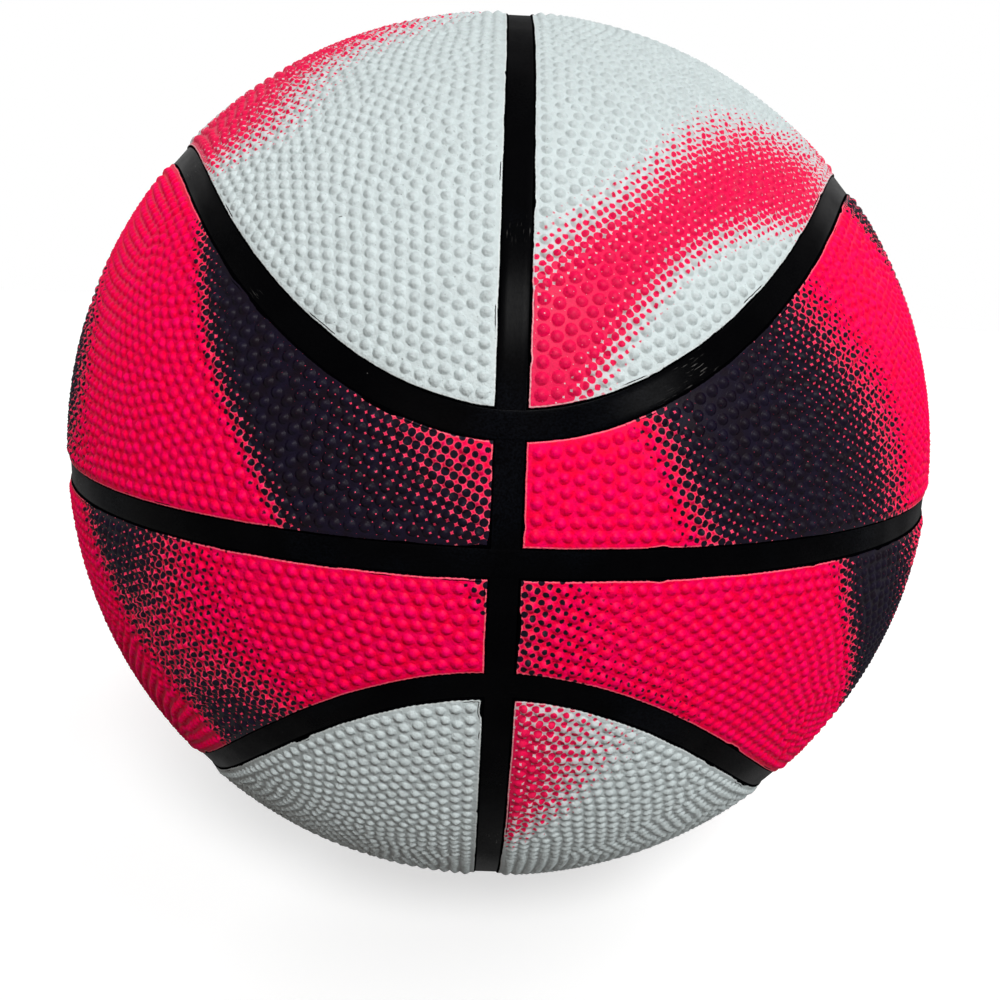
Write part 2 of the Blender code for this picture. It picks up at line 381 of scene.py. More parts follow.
PEBBLE_HEIGHT = 0.00066
PEBBLE_PITCH = 0.00300
PEBBLE_RADIUS = 0.00137
PEBBLE_CROWDING = 0.495
PEBBLE_FULLNESS = 1.2
PEBBLE_RINGS = ((0.52, 6), (0.84, 12), (1.0, 12))
PEBBLE_UNEVEN = 0.07
PEBBLE_UNROUND = 0.1
PEBBLE_FOOT_SLOPE = 0.65
PEBBLE_RELIEF = 1.22
PEBBLE_SCATTER = 0.1
VALLEY_RADIUS = BALL_RADIUS - PEBBLE_HEIGHT * (1 + PEBBLE_UNEVEN)
RELAX_ROUNDS = 36
RELAX_REACH = 1.12
RELAX_SHARE = 0.2
RELINK_EVERY = 3

FIRST_ROW_INSET = 0.0023
LIP_SPACING = 0.0013
LIP_ROWS = (
    (0.00080, 0.00000), (0.00050, 0.00005), (0.00028, 0.00008), (0.00010, 0.00005),
    (-0.00004, -0.00006), (-0.00014, -0.00020), (-0.00030, -0.00027),
)
VALVE_HOLE_RADIUS = 0.0051
VALVE_HOLE_SHARE = 0.995
VALVE_PAD_ROW = 0.0056
VALVE_PAD_ROWS = (
    (0.00000, -0.00022), (0.00012, -0.00004), (0.00032, 0.00009), (0.00080, 0.00014),
    (0.00200, 0.00014), (0.00260, 0.00005), (0.00300, 0.00000),
)
VALVE_UNDERSIDE_CLEAR = 0.008
UNDERSIDE_SPACING = 0.012
UNDERSIDE_RISES = (0.02, 1.57)
BAKE_MARGIN = 0.003
BAKE_SMALL = 0.1

PRINT_SHIFT = 2.59
DOT_PITCH = 0.00175
DOT_EDGE = 0.1
DOT_RAGGED = 0.24
SWEEP_WANDER = 0.6
SWEEP_RISE = 0.16
SWEEP_GAIN = 1.16
SWEEP_FLOOR = 0.12
STREAK_SHARE = 0.12
PAINT_SHORT = 0.00012
PAINT_WANDER = 0.0005
PAINT_SLIP = 0.00045
PAINT_FRAY = 0.00018
PAINT_SOFT = 0.00006
SLIVER_OUT = 0.0003
SLIVER_WANDER = 0.0002
SLIVER_WIDTH = 0.00013
RIM_OUT = 0.00014
RIM_WIDTH = 0.0002

WHITE_GROUND = (209, 221, 222)
# The grey of dirt and painted shade on the white pebbles.
WHITE_GRIME_AND_SHADE = (106, 110, 109)
WHITE_SPECK = (52, 50, 48)
# The lip's bare line, lightened as a painted highlight.
WHITE_RIM_AND_HIGHLIGHT = (226, 229, 228)
PINK_INK = (236, 8, 80)
PINK_TINT = (224, 160, 174)
DARK_INK = (14, 5, 16)
CHANNEL_BLACK = (2, 2, 3)
PANEL_ROUGHNESS = 0.54
PANEL_GLOSS = 0.18
PANEL_GLOSS_ROUGHNESS = 0.38
SKIN_DEPTH = 0.00024
# Heights on the ball over which the painted shade moves from the pebbles' tops to an even grey.
GRIME_AND_SHADE_FADE = (0.066, 0.102)

NECK, SHOULDER, SIDE = (
    rise / BALL_RADIUS for rise in (CURVE_RISE_AT_NECK, CURVE_RISE_AT_SHOULDER, CURVE_RISE_AT_SIDE)
)
CURVE_MEAN = (NECK + SIDE) / 4 + SHOULDER / 2
CURVE_SWING = (SIDE - NECK) / 2
CURVE_SQUARE = SHOULDER / 2 - (NECK + SIDE) / 4


def unit(vectors):
    return vectors / np.linalg.norm(vectors, axis=-1, keepdims=True)


def direction(azimuth, elevation):
    """Unit vectors at an azimuth from the front towards +X, and an elevation above the middle."""
    azimuth, elevation = np.broadcast_arrays(azimuth, elevation)
    level = np.cos(elevation)
    return np.stack([np.sin(azimuth) * level, -np.cos(azimuth) * level, np.sin(elevation)], axis=-1)


def curve_elevation(azimuth):
    """The centre line of the curved channel: low at the front and back, high at the sides."""
    return CURVE_MEAN - CURVE_SWING * np.cos(2 * azimuth) - CURVE_SQUARE * np.cos(4 * azimuth)


def curve_slope(azimuth):
    return 2 * CURVE_SWING * np.sin(2 * azimuth) + 4 * CURVE_SQUARE * np.sin(4 * azimuth)


def beside_curve(azimuth, offset):
    """Points at this angle above the curved channel's centre line, square to it."""
    here = direction(azimuth, curve_elevation(azimuth))
    step = 1e-4
    along = unit(direction(azimuth + step, curve_elevation(azimuth + step))
                 - direction(azimuth - step, curve_elevation(azimuth - step)))
    upward = np.cross(here, along)
    return here * math.cos(offset) + upward * math.sin(offset)


def beside_vertical(turn, offset):
    """Points at this angle to the right of the vertical channel, turned from the front over the top."""
    turn = np.asarray(turn)
    return np.stack([
        np.full(turn.shape, math.sin(offset)),
        -np.cos(turn) * math.cos(offset),
        np.sin(turn) * math.cos(offset),
    ], axis=-1)


def turn_of(point):
    return math.atan2(point[2], -point[1])


def corner_azimuth(offset, edge):
    """Where a line beside the curved channel comes this near to the vertical channel."""
    low, high = 0.0, math.pi / 4
    for _ in range(CORNER_HALVINGS):
        middle = (low + high) / 2
        near = beside_curve(np.array([middle]), offset)[0][0] < math.sin(edge)
        low, high = (middle, high) if near else (low, middle)
    return (low + high) / 2


def panel_sides(kind, inset):
    """The sides of a panel's outline, this far inside its edge, in turn about the panel."""
    edge = (CHANNEL_HALF + inset) / BALL_RADIUS
    share = np.linspace(0.0, 1.0, OUTLINE_POINTS)
    above = edge if kind == "white" else -edge
    start = corner_azimuth(above, edge)
    curve = beside_curve(start + share * (math.pi - 2 * start), above)
    if kind == "white":
        front, back = turn_of(curve[0]), turn_of(curve[-1])
        return [curve, beside_vertical(back + share * (front - back), edge)]
    low = math.asin(math.tan(edge))
    middle = direction(low + share * (math.pi - 2 * low), edge)
    curve = curve[::-1]
    back_low, back_high = turn_of(middle[-1]), turn_of(curve[0])
    front_high, front_low = turn_of(curve[-1]), turn_of(middle[0])
    return [
        middle,
        beside_vertical(back_low + share * (back_high - back_low), edge),
        curve,
        beside_vertical(front_high + share * (front_low - front_high), edge),
    ]


def run_lengths(points):
    """How far along a line of points each of them lies."""
    steps = np.linalg.norm(np.diff(points, axis=0), axis=1)
    return np.concatenate([[0.0], np.cumsum(steps)])


def spaced_loop(sides, counts):
    """Evenly spaced points along each side, without its last point, which starts the next side."""
    loop = []
    for side, count in zip(sides, counts):
        length = run_lengths(side)
        stations = np.linspace(0.0, length[-1], count + 1)[:-1]
        loop.append(unit(np.stack([np.interp(stations, length, side[:, k]) for k in range(3)], axis=-1)))
    return np.concatenate(loop)


def side_counts(sides, spacing):
    lengths = [run_lengths(side)[-1] * BALL_RADIUS for side in sides]
    return [max(1, round(length / spacing)) for length in lengths]


def panel_inset(kind, points):
    """How far inside the panel's edge the points lie, in metres."""
    azimuth = np.arctan2(points[:, 0], -points[:, 1])
    elevation = np.arcsin(np.clip(points[:, 2], -1, 1))
    pole_guard = 1e-3
    slope = curve_slope(azimuth) / np.maximum(np.cos(elevation), pole_guard)
    above_curve = (elevation - curve_elevation(azimuth)) / np.sqrt(1 + slope ** 2)
    right = np.arcsin(np.clip(points[:, 0], -1, 1))
    if kind == "white":
        nearest = np.minimum(right, above_curve)
    else:
        nearest = np.minimum(np.minimum(right, -above_curve), elevation)
    return nearest * BALL_RADIUS - CHANNEL_HALF


def triangulate(points, middle, loops=()):
    """Links and triangles between points of the ball, seen in a conformal map about the middle."""
    right = unit(np.cross([0.0, 0.0, 1.0], middle))
    up = np.cross(middle, right)
    depth = 1 + points @ middle
    flat = np.stack([points @ right / depth, points @ up / depth], axis=-1)
    fixed = [(loop[k], loop[(k + 1) % len(loop)]) for loop in loops for k in range(len(loop))]
    inside_only = 1 if fixed else 0
    found = delaunay_2d_cdt([Vector(p) for p in flat], fixed, [], inside_only, MERGE_DISTANCE)
    order = np.array([kept[0] for kept in found[3]])
    return order[np.array(found[1])], order[np.array(found[2])]


def tangents(points):
    """Two directions square to each other in the ball's surface at each point."""
    askew = (0.31, 0.17, 0.94)
    first = unit(np.cross(points, askew))
    return first, np.cross(points, first)


def ring_about(centre, radius, spacing):
    """Points in a ring about a place on the ball, clockwise seen from outside."""
    first, second = tangents(centre[None, :])
    turns = -np.arange(round(math.tau * radius / spacing)) * spacing / radius
    turns = turns * math.tau / (len(turns) * spacing / radius)
    angle = radius / BALL_RADIUS
    circle = np.cos(turns)[:, None] * first + np.sin(turns)[:, None] * second
    return centre * math.cos(angle) + circle * math.sin(angle)


def relaxed_pebbles(kind, middle, random, valve):
    """Pebble centres: a first row along the panel's edges, and the rest spread evenly inside it."""
    row_sides = panel_sides(kind, FIRST_ROW_INSET)
    fixed = spaced_loop(row_sides, side_counts(row_sides, PEBBLE_PITCH))
    if valve is not None:
        pad_row = ring_about(valve, VALVE_HOLE_RADIUS + VALVE_PAD_ROW, PEBBLE_PITCH)
        fixed = np.concatenate([fixed, pad_row])
    count = round(4 * math.pi * BALL_RADIUS ** 2 / (PEBBLE_PITCH ** 2 * math.sqrt(3) / 2))
    number = np.arange(count) + 0.5
    golden = math.pi * (1 + math.sqrt(5))
    free = direction(golden * number + random.uniform(0, math.tau), np.arcsin(1 - 2 * number / count))
    tilt = Matrix.Rotation(random.uniform(0, math.tau), 3, Vector(unit(random.normal(size=3))))
    scatter = random.normal(scale=PEBBLE_SCATTER * PEBBLE_PITCH / BALL_RADIUS, size=free.shape)
    free = unit(free @ np.array(tilt) + scatter)
    room = 0.5 * PEBBLE_PITCH
    free = free[panel_inset(kind, free) > FIRST_ROW_INSET + room]
    if valve is not None:
        clear = (VALVE_HOLE_RADIUS + VALVE_PAD_ROW + room) / BALL_RADIUS
        free = free[free @ valve < math.cos(clear)]
    for turn in range(RELAX_ROUNDS):
        points = np.concatenate([fixed, free])
        if turn % RELINK_EVERY == 0:
            links, _ = triangulate(points, middle)
        span = points[links[:, 1]] - points[links[:, 0]]
        length = np.linalg.norm(span, axis=1, keepdims=True)
        push = span / length * np.maximum(RELAX_REACH * np.median(length) - length, 0.0)
        move = np.zeros_like(points)
        np.add.at(move, links[:, 1], push)
        np.add.at(move, links[:, 0], -push)
        free = unit(free + RELAX_SHARE * move[len(fixed):])
    return np.concatenate([fixed, free])


def dome(share):
    """A pebble's height at a share of its radius: a round crown with sides that ease out at the foot."""
    return (1 - share ** 2) ** PEBBLE_FULLNESS


def pebble_faces():
    """The triangles of one pebble: a fan about its crown, then a band between each pair of rings."""
    counts = [count for _, count in PEBBLE_RINGS]
    starts = np.cumsum([1] + counts)
    faces = [(0, 1 + k, 1 + (k + 1) % counts[0]) for k in range(counts[0])]
    for low, high, inner, outer in zip(starts, starts[1:], counts, counts[1:]):
        ratio = outer // inner
        for k in range(inner):
            here, there = low + k, low + (k + 1) % inner
            edge = [high + (ratio * k + m) % outer for m in range(ratio + 1)]
            faces += [(here, edge[0], edge[1]), (here, edge[1], there)]
            faces += [(there, *pair) for pair in zip(edge[1:], edge[2:])]
    return np.array(faces)


def pebble_points(pebbles, radius, top, bulges):
    """Each pebble's points, crown first and then ring by ring, their heights and the way they face."""
    first, second = tangents(pebbles)
    shares = np.array([0.0] + [share for share, _ in PEBBLE_RINGS])
    drops = -np.diff(dome(shares)) / np.diff(shares)
    slopes = np.append((drops[:-1] + drops[1:]) / 2, drops[-1] * PEBBLE_FOOT_SLOPE)
    points, heights, facings = [pebbles[:, None]], [top[:, None]], [pebbles[:, None]]
    for (share, count), slope in zip(PEBBLE_RINGS, slopes):
        turns = np.arange(count) * math.tau / count
        outward = first[:, None] * np.cos(turns)[:, None] + second[:, None] * np.sin(turns)[:, None]
        bulge = np.cos(2 * turns + bulges[0][:, None]) + np.cos(3 * turns + bulges[1][:, None])
        reach = radius[:, None] * share * (1 - PEBBLE_UNROUND * (2 - bulge) / 4)
        ring = unit(pebbles[:, None] + reach[:, :, None] / BALL_RADIUS * outward)
        points.append(ring)
        heights.append(np.repeat(top[:, None] * dome(share), count, axis=1))
        tilt = PEBBLE_RELIEF * slope * top / radius
        facings.append(unit(ring + tilt[:, None, None] * outward))
    return tuple(np.concatenate(parts, axis=1) for parts in (points, heights, facings))


def outside_hole(points, triangles, valve):
    """The triangles that don't lie over the valve's hole."""
    nearness = unit(points[triangles].mean(axis=1)) @ valve
    return triangles[nearness < math.cos(VALVE_HOLE_SHARE * VALVE_HOLE_RADIUS / BALL_RADIUS)]


def panel_surface(kind, random, valve):
    """A panel's outer face: points, heights and the way that the pebbles face, then the loops at its
    edges, the triangles of the ground between the pebbles and those of the pebbles."""
    middle = unit(np.array(PANEL_MIDDLES[kind]))
    counts = side_counts(panel_sides(kind, 0.0), LIP_SPACING)
    rows = [(spaced_loop(panel_sides(kind, inset), counts), height) for inset, height in LIP_ROWS[::-1]]
    starts = [0]
    if valve is not None:
        starts.append(sum(len(row) for row, _ in rows))
        for outset, height in VALVE_PAD_ROWS:
            radius = VALVE_HOLE_RADIUS + outset
            spacing = LIP_SPACING / 2 * radius / VALVE_HOLE_RADIUS
            rows.append((ring_about(valve, radius, spacing), height))
    edges = [rows[0], rows[len(LIP_ROWS)]] if valve is not None else rows[:1]
    loops = [start + np.arange(len(row)) for start, (row, _) in zip(starts, edges)]
    smooth_points = np.concatenate([row for row, _ in rows])
    smooth_heights = np.concatenate([np.full(len(row), height) for row, height in rows])

    pebbles = relaxed_pebbles(kind, middle, random, valve)
    links, _ = triangulate(pebbles, middle)
    span = np.linalg.norm(pebbles[links[:, 0]] - pebbles[links[:, 1]], axis=1) * BALL_RADIUS
    nearest = np.full(len(pebbles), PEBBLE_PITCH)
    np.minimum.at(nearest, links[:, 0], span)
    np.minimum.at(nearest, links[:, 1], span)
    uneven = random.uniform(1 - PEBBLE_UNEVEN, 1 + PEBBLE_UNEVEN, size=(2, len(pebbles)))
    radius = np.minimum(PEBBLE_RADIUS * uneven[0], PEBBLE_CROWDING * nearest)
    bulges = random.uniform(0, math.tau, size=(2, len(pebbles)))
    where, lifted, facing = pebble_points(pebbles, radius, PEBBLE_HEIGHT * uneven[1], bulges)
    each = where.shape[1]
    feet = np.arange(each)[-PEBBLE_RINGS[-1][1]:]
    first_corners = len(smooth_points) + each * np.arange(len(pebbles))[:, None]

    points = np.concatenate([smooth_points, where.reshape(-1, 3)])
    heights = np.concatenate([smooth_heights, lifted.ravel()])
    facings = np.concatenate([smooth_points, facing.reshape(-1, 3)])
    ground = np.concatenate([np.arange(len(smooth_points)), (first_corners + feet).ravel()])
    nobody = -1 - np.arange(len(smooth_points))
    owner = np.concatenate([nobody, np.repeat(np.arange(len(pebbles)), len(feet))])
    _, between = triangulate(points[ground], middle, loops)
    under_one = (owner[between] == owner[between][:, :1]).all(axis=1)
    between = ground[between[~under_one]]
    if valve is not None:
        between = outside_hole(points, between, valve)
    raised = (first_corners[:, :, None] + pebble_faces()).reshape(-1, 3)
    return middle, points, heights, facings, loops, between, raised


def panel_angles(kind, points):
    """Angles along the panel from its middle, and across it from its long straight channel."""
    side, front, up = points[:, 0], -points[:, 1], points[:, 2]
    along, across = (up, side) if kind == "white" else (side, up)
    return np.arctan2(along, front) - math.pi / 2, np.arcsin(np.clip(across, -1, 1))


def print_place(kind, points):
    """The panel laid flat so that small shapes keep their form, as the print is fitted to it."""
    along, across = panel_angles(kind, points)
    return np.stack([along, np.arcsinh(np.tan(across))], axis=-1) * BALL_RADIUS


def flat_place(kind, points):
    """The panel laid flat so that every part of it keeps its area."""
    along, across = panel_angles(kind, points)
    return np.stack([along * np.cos(across), across], axis=-1) * BALL_RADIUS


def bake_place(flat, triangles, under):
    """A map of the panel in the unit square: its two halves stacked, its underside small above them."""
    low, high = flat.min(axis=0), flat.max(axis=0)
    tall = high[1] - low[1] + BAKE_MARGIN
    size = max(high[0] + 2 * BAKE_MARGIN, (2 + BAKE_SMALL) * tall + 2 * BAKE_MARGIN)
    place = flat[triangles]
    back = place[..., 0].mean(axis=1) > 0
    place[..., 1] += BAKE_MARGIN - low[1]
    place[~back, :, 0] += BAKE_MARGIN - low[0]
    place[back, :, 0] += BAKE_MARGIN
    place[back, :, 1] += tall
    hidden = flat[triangles[under]] - low
    place[under] = hidden * BAKE_SMALL + np.array([BAKE_MARGIN, 2 * tall + BAKE_MARGIN])
    return place / size


def panel_mesh(name, kind, signs, number, valve=None):
    """One closed panel: the pebbled face, the walls at its edges and a plain underside."""
    random = np.random.default_rng(number)
    middle, points, heights, facings, loops, ground, raised = panel_surface(kind, random, valve)
    rim = [points[loop] for loop in loops]
    step = UNDERSIDE_SPACING / BALL_RADIUS
    turns, rises = np.meshgrid(np.arange(0, math.pi, step), np.arange(*UNDERSIDE_RISES, step))
    grid = direction(turns.ravel(), rises.ravel())
    grid = grid[panel_inset(kind, grid) > UNDERSIDE_SPACING / 3]
    if valve is not None:
        grid = grid[grid @ valve < math.cos(VALVE_UNDERSIDE_CLEAR / BALL_RADIUS)]
    below = np.concatenate(rim + [grid])
    starts = np.cumsum([0] + [len(loop) for loop in rim])
    rings = [np.arange(start, start + len(loop)) for start, loop in zip(starts, rim)]
    _, floor = triangulate(below, middle, rings)
    if valve is not None:
        floor = outside_hole(below, floor, valve)
    walls = []
    for loop, ring in zip(loops, rings):
        ring = ring + len(points)
        after, ring_after = np.roll(loop, -1), np.roll(ring, -1)
        walls += [np.stack([loop, ring, ring_after], -1), np.stack([loop, ring_after, after], -1)]
    faces = np.concatenate([raised, ground, *walls, floor[:, ::-1] + len(points)])
    under = np.arange(len(faces)) >= len(faces) - len(floor)

    everywhere = np.concatenate([points, below])
    radii = np.concatenate([VALLEY_RADIUS + heights, np.full(len(below), PANEL_UNDERSIDE)])
    inset = np.concatenate([panel_inset(kind, points), np.full(len(below), LIP_ROWS[-1][0])])
    bake = bake_place(flat_place(kind, everywhere), faces, under)
    printed = print_place(kind, everywhere) * [signs[0], signs[2]] + [number * PRINT_SHIFT, 0.0]
    if np.prod(signs) < 0:
        faces, bake = faces[:, ::-1], bake[:, ::-1]
    mesh = bpy.data.meshes.new(name)
    mesh.from_pydata(everywhere * radii[:, None] * np.array(signs), [], faces)
    mesh.uv_layers.new(name="print").uv.foreach_set("vector", printed[faces].ravel())
    mesh.uv_layers.new(name="OFBake").uv.foreach_set("vector", bake.ravel())
    mesh.attributes.new("inset", "FLOAT", "POINT").data.foreach_set("value", inset)
    lift = np.concatenate([heights / PEBBLE_HEIGHT, np.zeros(len(below))])
    mesh.attributes.new("lift", "FLOAT", "POINT").data.foreach_set("value", lift)
    mesh.shade_smooth()
    smooth = np.empty(len(everywhere) * 3)
    mesh.vertex_normals.foreach_get("vector", smooth)
    smooth = smooth.reshape(-1, 3)
    level = np.flatnonzero(heights == 0.0)
    smooth[level] = points[level] * signs
    normals = smooth[faces]
    normals[:len(raised)] = (facings * signs)[faces[:len(raised)]]
    mesh.normals_split_custom_set(normals.reshape(-1, 3))
    return mesh


def laid_flat(shade):
    return shade.node("ShaderNodeUVMap", {"uv_map": "print"})


def read_number(shade, name):
    return shade.node("ShaderNodeAttribute", {"attribute_name": name}, output="Fac")


def dot_screen(place, angle):
    """A printer's screen of round dots: 1 at each dot's middle and 0 at the corners between four."""
    turned_place = place.turn(angle)
    apart = [place.math("FRACT", turned_place.axis(k) / DOT_PITCH) - 0.5 for k in (0, 1)]
    return 1 - (apart[0] * apart[0] + apart[1] * apart[1]) * 2


def sweep_tone(place, angle, spacing, fall, heavy):
    """Slanting sweeps of ink: each comes in quickly on one side and fades out slowly on the other."""
    drift = place.noise(9.0, 1.0) * SWEEP_WANDER
    across = place.turn(angle).axis(0) / spacing + drift
    share = place.math("FRACT", across)
    streak = place.turn(angle).noise(220.0, 2.0, (1.0, 14.0, 1.0))
    weight = place.noise(11.0, 1.0).step(*heavy)
    body = share.step(0.0, SWEEP_RISE) * (1 - share.step(SWEEP_RISE, fall)) * weight
    return body * SWEEP_GAIN - SWEEP_FLOOR + (streak - 0.5) * STREAK_SHARE


def channel_paint_edge(shade, place, inset):
    """The channels' black paint where it runs on to the lip, with the wander of a brush and short slivers
    beyond its edge, and the bare line of the lip next to it, made lighter as a painted highlight."""
    slip = place.noise(90.0, 2.0).step(0.6, 0.72) * PAINT_SLIP
    fray = (place.noise(1400.0, 2.0) - 0.5) * PAINT_FRAY
    edge = place.noise(150.0, 3.0) * PAINT_WANDER - PAINT_SHORT + slip + fray
    sliver_line = edge + SLIVER_OUT + place.noise(60.0, 1.0) * SLIVER_WANDER
    sliver = 1 - shade.math("ABSOLUTE", inset - sliver_line) / SLIVER_WIDTH
    sliver = (sliver * 2).clamp() * place.noise(70.0, 2.0).step(0.63, 0.66)
    paint = ((edge - inset) / PAINT_SOFT + 0.5).clamp()
    from_rim = (inset - edge - RIM_OUT) / RIM_WIDTH
    return shade.math("MAXIMUM", paint, sliver), (1 - shade.math("ABSOLUTE", from_rim)).clamp()


def moulded_skin(place):
    """The grain of the moulded skin: fine pits, and the softer unevenness of hand-cut pebbles."""
    return place.noise(1700.0, 3.0) + place.noise(650.0, 2.0) * 0.9


def ragged_edge(place):
    """How far a printed dot's edge wanders where the ink meets the grain."""
    return (place.noise(2300.0, 2.0) - 0.5) * DOT_RAGGED


def finish_panel(made, place, ground, ink, paint, gloss):
    """What both prints share: black paint over the ground, smoother ink and a grained, coated skin."""
    skin = moulded_skin(place)
    return finish(made, {
        "Base Color": paint.mix(ground, colour(*CHANNEL_BLACK)),
        "Roughness": PANEL_ROUGHNESS - ink * 0.06 + skin * 0.08,
        "Specular IOR Level": 0.0,
        "Coat Weight": (1 - paint) * gloss,
        "Coat Roughness": PANEL_GLOSS_ROUGHNESS,
        "Normal": skin.bump(SKIN_DEPTH),
    })


def white_print():
    """Pink dots in sweeps and a few dark ones on off-white, with grey on the pebbles' tops that is partly
    dirt and partly painted shade.
    """
    made, shade = material("white_panel_rubber")
    flat = laid_flat(shade)
    place = object_place(shade)
    inset = read_number(shade, "inset")
    lift = read_number(shade, "lift")
    tone = sweep_tone(flat, angle=0.9, spacing=0.17, fall=0.4, heavy=(0.2, 0.6))
    dots = dot_screen(flat, angle=0.72)
    ragged = ragged_edge(place)
    ink = ((dots + tone - 1.0 + ragged) / DOT_EDGE + 0.5).clamp()
    dark_tone = sweep_tone(flat, angle=-0.5, spacing=0.21, fall=0.34, heavy=(0.5, 0.9)) * 0.45
    dark = ((dots + dark_tone - 1.0 + ragged) / DOT_EDGE + 0.5).clamp()
    tint = tone.step(0.02, 0.6) * 0.5
    # The pebbles' grey tops are partly dirt and partly painted shade. High on the ball the grey fades
    # from the tops, and an even painted shade is mixed over the panel instead.
    smudge = place.noise(260.0, 2.0).step(0.35, 0.7) * 0.08
    scuff = place.noise(700.0, 3.0).step(0.42, 0.78) * 0.17
    mottle = place.noise(420.0, 4.0).step(0.36, 0.74) * 0.14
    aloft = place.axis(2).step(*GRIME_AND_SHADE_FADE)
    grime_and_shade = lift.step(0.0, 0.4) * (smudge + scuff) * (1 - aloft * 0.7) + mottle + aloft * 0.1
    grime_and_shade = grime_and_shade.clamp() * (1 - ink * 0.7)
    paint, rim = channel_paint_edge(shade, place, inset)
    ground = tint.mix(colour(*WHITE_GROUND), colour(*PINK_TINT))
    ground = ink.mix(ground, colour(*PINK_INK))
    ground = dark.mix(ground, colour(*DARK_INK))
    ground = grime_and_shade.mix(ground, colour(*WHITE_GRIME_AND_SHADE))
    speck = place.noise(430.0, 1.0).step(0.8, 0.83)
    ground = (speck * 0.7).mix(ground, colour(*WHITE_SPECK))
    # The lip's bare line, lightened as a painted highlight.
    ground = (rim * 0.6).mix(ground, colour(*WHITE_RIM_AND_HIGHLIGHT))
    return finish_panel(made, place, ground, ink, paint, PANEL_GLOSS)


COVERS = [(height, side) for height in ("upper", "lower") for side in ("left", "right")]


def cover_signs(height, side):
    """How a panel that is made at the upper right is mirrored to its own place."""
    return (1 if side == "right" else -1, 1, 1 if height == "upper" else -1)


white_finish = white_print()
for number, (height, side) in enumerate(COVERS):
    name = f"white_cover_{height}_{side}"
    mesh = panel_mesh(name, "white", cover_signs(height, side), number)
    piece(name, mesh, white_finish, "ball", "white_rubber", f"white_panel_{height}_{side}")

# Pink panels: four bands of the same moulded rubber between the middle channel and the curved ones.
# They carry the dot print in near black, and one has the smooth round pad that the valve sits in.

# Lit and shaded copies of the pink: a painted highlight and a painted shade.
PINK_PAINTED_HIGHLIGHT = (255, 0, 100)
PINK_PAINTED_SHADE = (252, 0, 62)
PINK_GLOSS = 0.1
PINK_HALO = (255, 90, 118)
# The lip's bare line on pink, lightened as a painted highlight.
PINK_RIM_AND_HIGHLIGHT = (255, 136, 151)
DARK_INK_BLUE = (17, 11, 30)
INK_GLOSS = 0.03
PINK_DOT_EDGE = 0.09
HALO_EDGE = 0.35
PINK_NUMBER = 10


def pink_print():
    """Near-black dots in sweeps, each with the pale halo that the ink leaves, on vivid pink with a
    painted highlight on the pebbles' crowns and in blotches, and painted shade between them.
    """
    made, shade = material("pink_panel_rubber")
    flat = laid_flat(shade)
    place = object_place(shade)
    inset = read_number(shade, "inset")
    lift = read_number(shade, "lift")
    tone = sweep_tone(flat, angle=-0.6, spacing=0.105, fall=0.75, heavy=(0.2, 0.6))
    reach = dot_screen(flat, angle=0.42) + tone - 1.0 + ragged_edge(place)
    ink = (reach / PINK_DOT_EDGE + 0.5).clamp()
    halo = (reach / HALO_EDGE + 1.0).clamp() * tone.step(0.12, 0.45)
    # Painted highlight on the pebbles' crowns and in random blotches, with painted shade between them.
    crown = (lift.step(0.1, 0.9) * 0.3 + place.noise(620.0, 3.0).step(0.34, 0.68) * 0.7).clamp()
    depth = flat.noise(300.0, 3.0)
    paint, rim = channel_paint_edge(shade, place, inset)
    ground = crown.mix(colour(*PINK_PAINTED_SHADE), colour(*PINK_PAINTED_HIGHLIGHT))
    ground = (halo * 0.8).mix(ground, colour(*PINK_HALO))
    # The lip's bare line, lightened as a painted highlight.
    ground = (rim * 0.7).mix(ground, colour(*PINK_RIM_AND_HIGHLIGHT))
    ground = ink.mix(ground, depth.step(0.3, 0.7).mix(colour(*DARK_INK), colour(*DARK_INK_BLUE)))
    return finish_panel(made, place, ground, ink, paint, PINK_GLOSS + ink * INK_GLOSS)


pink_finish = pink_print()
for number, (height, side) in enumerate(COVERS, start=PINK_NUMBER):
    signs = cover_signs(height, side)
    mirrored = np.array(VALVE_AXIS) * signs
    valve = mirrored if mirrored[0] > 0 and mirrored[2] > 0 else None
    name = f"pink_cover_{height}_{side}"
    mesh = panel_mesh(name, "pink", signs, number, valve)
    piece(name, mesh, pink_finish, "ball", "pink_rubber", f"pink_panel_{height}_{side}")

# Channels: nine strips of rubber that fill the grooves between the panels, a little below them.
# They are painted black by brush, with the strokes along the groove.

STRIP_HALF = 0.00268
STRIP_SINK = 0.00098
STRIP_TOP = BALL_RADIUS - STRIP_SINK
STRIP_STEP = 0.0015
STRIP_GAP = 0.00002
STRIP_SHARP_ANGLE = 0.6
BRUSH_DEPTH = 0.00005
CHANNEL_DUST = (126, 124, 122)
# Bluish grey for patches of wear and of painted sheen.
CHANNEL_WORN_AND_SHEEN = (7, 9, 14)
CHANNEL_SHEEN = 0.1
CHANNEL_SHEEN_IOR = 1.2
CHANNEL_ROUGHNESS = 0.24
STRIP_SECTION = (
    (-1.0, -0.00004), (-0.94, 0.0), (-0.5, -0.00003), (0.0, -0.00004), (0.5, -0.00003), (0.94, 0.0),
    (1.0, -0.00004),
)


